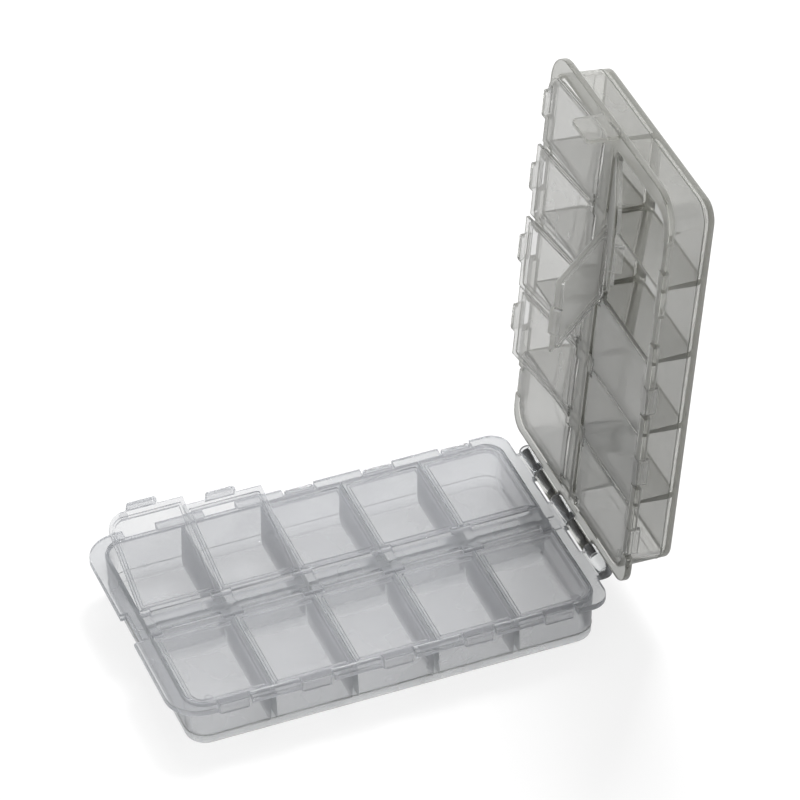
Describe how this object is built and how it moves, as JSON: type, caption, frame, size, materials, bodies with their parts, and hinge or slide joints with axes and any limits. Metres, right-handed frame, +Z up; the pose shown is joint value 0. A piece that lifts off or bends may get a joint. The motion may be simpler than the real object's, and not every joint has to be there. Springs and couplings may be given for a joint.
{
  "type": "fly box",
  "caption": "Double-sided fly box: two hinged trays on a steel pin, each with two rows of small lidded compartments.",
  "frame": {"origin": "centre of the flat underside that the lower tray rests on", "axes": "+X from the clasp end to the hinge end, +Y from the front row of lids to the back row, +Z up"},
  "size_m": [0.1933, 0.098, 0.1779],
  "materials": {
    "tray_plastic": "natural translucent polypropylene, satin",
    "lid_plastic": "natural translucent polypropylene, thin and satin",
    "steel": "drawn wire, bright"
  },
  "bodies": {
    "base": {"base_tray": "tray_plastic"},
    "pin": {"hinge_pin": "steel"},
    "cover": {"cover_tray": "tray_plastic"},
    "base_lid_back_1": {"base_lid_back_1": "lid_plastic"},
    "base_lid_back_2": {"base_lid_back_2": "lid_plastic"},
    "base_lid_back_3": {"base_lid_back_3": "lid_plastic"},
    "base_lid_back_4": {"base_lid_back_4": "lid_plastic"},
    "base_lid_back_5": {"base_lid_back_5": "lid_plastic"},
    "base_lid_front_1": {"base_lid_front_1": "lid_plastic"},
    "base_lid_front_2": {"base_lid_front_2": "lid_plastic"},
    "base_lid_front_3": {"base_lid_front_3": "lid_plastic"},
    "base_lid_front_4": {"base_lid_front_4": "lid_plastic"},
    "base_lid_front_5": {"base_lid_front_5": "lid_plastic"},
    "cover_lid_back_1": {"cover_lid_back_1": "lid_plastic"},
    "cover_lid_back_2": {"cover_lid_back_2": "lid_plastic"},
    "cover_lid_back_3": {"cover_lid_back_3": "lid_plastic"},
    "cover_lid_back_4": {"cover_lid_back_4": "lid_plastic"},
    "cover_lid_back_5": {"cover_lid_back_5": "lid_plastic"},
    "cover_lid_front_1": {"cover_lid_front_1": "lid_plastic"},
    "cover_lid_front_2": {"cover_lid_front_2": "lid_plastic"},
    "cover_lid_front_3": {"cover_lid_front_3": "lid_plastic"},
    "cover_lid_front_4": {"cover_lid_front_4": "lid_plastic"},
    "cover_lid_front_5": {"cover_lid_front_5": "lid_plastic"}
  },
  "joints": [
    {"name": "pin_turn", "type": "hinge", "parent": "base", "child": "pin", "pos_m": [0.0798, 0, 0.01865], "axis": [0, 1, 0], "range_deg": [-30, 0]},
    {"name": "cover_hinge", "type": "hinge", "parent": "pin", "child": "cover", "pos_m": [0.0798, 0, 0.01865], "axis": [0, 1, 0], "range_deg": [-66, 84]},
    {"name": "base_lid_back_1_hinge", "type": "hinge", "parent": "base", "child": "base_lid_back_1", "pos_m": [-0.058, 0.0053, 0.0169], "axis": [1, 0, 0], "range_deg": [-22, 68]},
    {"name": "base_lid_back_2_hinge", "type": "hinge", "parent": "base", "child": "base_lid_back_2", "pos_m": [-0.029, 0.0053, 0.0169], "axis": [1, 0, 0], "range_deg": [-13, 77]},
    {"name": "base_lid_back_3_hinge", "type": "hinge", "parent": "base", "child": "base_lid_back_3", "pos_m": [0, 0.0053, 0.0169], "axis": [1, 0, 0], "range_deg": [0, 90]},
    {"name": "base_lid_back_4_hinge", "type": "hinge", "parent": "base", "child": "base_lid_back_4", "pos_m": [0.029, 0.0053, 0.0169], "axis": [1, 0, 0], "range_deg": [0, 90]},
    {"name": "base_lid_back_5_hinge", "type": "hinge", "parent": "base", "child": "base_lid_back_5", "pos_m": [0.058, 0.0053, 0.0169], "axis": [1, 0, 0], "range_deg": [0, 90]},
    {"name": "base_lid_front_1_hinge", "type": "hinge", "parent": "base", "child": "base_lid_front_1", "pos_m": [-0.058, -0.0053, 0.0169], "axis": [-1, 0, 0], "range_deg": [0, 90]},
    {"name": "base_lid_front_2_hinge", "type": "hinge", "parent": "base", "child": "base_lid_front_2", "pos_m": [-0.029, -0.0053, 0.0169], "axis": [-1, 0, 0], "range_deg": [0, 90]},
    {"name": "base_lid_front_3_hinge", "type": "hinge", "parent": "base", "child": "base_lid_front_3", "pos_m": [0, -0.0053, 0.0169], "axis": [-1, 0, 0], "range_deg": [0, 90]},
    {"name": "base_lid_front_4_hinge", "type": "hinge", "parent": "base", "child": "base_lid_front_4", "pos_m": [0.029, -0.0053, 0.0169], "axis": [-1, 0, 0], "range_deg": [0, 90]},
    {"name": "base_lid_front_5_hinge", "type": "hinge", "parent": "base", "child": "base_lid_front_5", "pos_m": [0.058, -0.0053, 0.0169], "axis": [-1, 0, 0], "range_deg": [0, 90]},
    {"name": "cover_lid_back_1_hinge", "type": "hinge", "parent": "cover", "child": "cover_lid_back_1", "pos_m": [0.09594, 0.0053, 0.15551], "axis": [0.1045, 0, 0.9945], "range_deg": [-3.5, 86.5]},
    {"name": "cover_lid_back_2_hinge", "type": "hinge", "parent": "cover", "child": "cover_lid_back_2", "pos_m": [0.09291, 0.0053, 0.12667], "axis": [0.1045, 0, 0.9945], "range_deg": [-6, 84]},
    {"name": "cover_lid_back_3_hinge", "type": "hinge", "parent": "cover", "child": "cover_lid_back_3", "pos_m": [0.08988, 0.0053, 0.09783], "axis": [0.1045, 0, 0.9945], "range_deg": [-8, 82]},
    {"name": "cover_lid_back_4_hinge", "type": "hinge", "parent": "cover", "child": "cover_lid_back_4", "pos_m": [0.08685, 0.0053, 0.06899], "axis": [0.1045, 0, 0.9945], "range_deg": [-7.5, 82.5]},
    {"name": "cover_lid_back_5_hinge", "type": "hinge", "parent": "cover", "child": "cover_lid_back_5", "pos_m": [0.08382, 0.0053, 0.04015], "axis": [0.1045, 0, 0.9945], "range_deg": [0, 90]},
    {"name": "cover_lid_front_1_hinge", "type": "hinge", "parent": "cover", "child": "cover_lid_front_1", "pos_m": [0.09594, -0.0053, 0.15551], "axis": [-0.1045, 0, -0.9945], "range_deg": [-24, 66]},
    {"name": "cover_lid_front_2_hinge", "type": "hinge", "parent": "cover", "child": "cover_lid_front_2", "pos_m": [0.09291, -0.0053, 0.12667], "axis": [-0.1045, 0, -0.9945], "range_deg": [-48, 42]},
    {"name": "cover_lid_front_3_hinge", "type": "hinge", "parent": "cover", "child": "cover_lid_front_3", "pos_m": [0.08988, -0.0053, 0.09783], "axis": [-0.1045, 0, -0.9945], "range_deg": [0, 90]},
    {"name": "cover_lid_front_4_hinge", "type": "hinge", "parent": "cover", "child": "cover_lid_front_4", "pos_m": [0.08685, -0.0053, 0.06899], "axis": [-0.1045, 0, -0.9945], "range_deg": [0, 90]},
    {"name": "cover_lid_front_5_hinge", "type": "hinge", "parent": "cover", "child": "cover_lid_front_5", "pos_m": [0.08382, -0.0053, 0.04015], "axis": [-0.1045, 0, -0.9945], "range_deg": [0, 90]}
  ]
}
